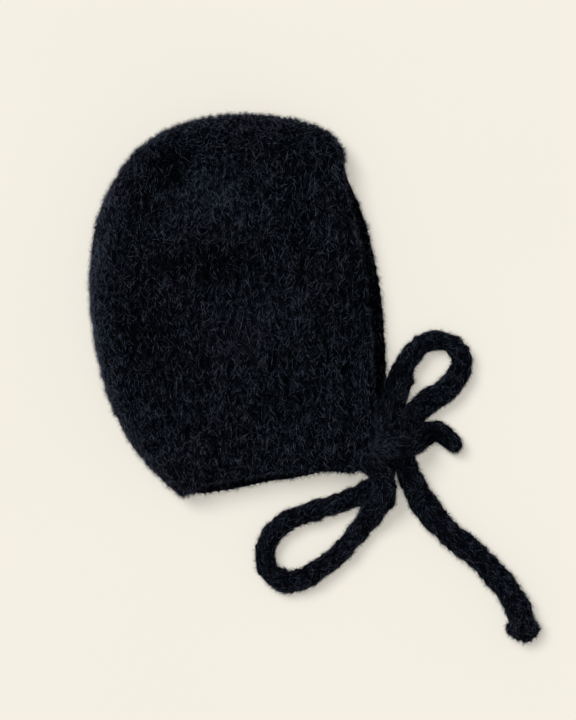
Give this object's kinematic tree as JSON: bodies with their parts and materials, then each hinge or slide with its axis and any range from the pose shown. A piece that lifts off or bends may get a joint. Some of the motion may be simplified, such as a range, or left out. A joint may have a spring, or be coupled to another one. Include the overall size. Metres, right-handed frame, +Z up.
{
  "type": "baby bonnet",
  "caption": "Brushed knitted baby bonnet in near-black navy, lying flat on its side with its cord ties in a bow.",
  "frame": {"origin": "on the floor under the middle of the knitted shell, which lies on its side", "axes": "+Z up from the floor, +X from the back of the head to the face, +Y from the neck to the crown"},
  "size_m": [0.2024, 0.2378, 0.0341],
  "materials": {
    "brushed_knit": "brushed wool knit, matt, with pale loose fibres",
    "knitted_cord": "brushed wool knitted cord, matt"
  },
  "bodies": {
    "root": {"bonnet_shell": "brushed_knit", "bow_knot": "knitted_cord", "end_knot": "knitted_cord", "upper_tie_root": "knitted_cord", "lower_tie_root": "knitted_cord", "upper_loop": "knitted_cord", "lower_loop": "knitted_cord", "long_tail": "knitted_cord", "short_tail": "knitted_cord"}
  },
  "joints": []
}
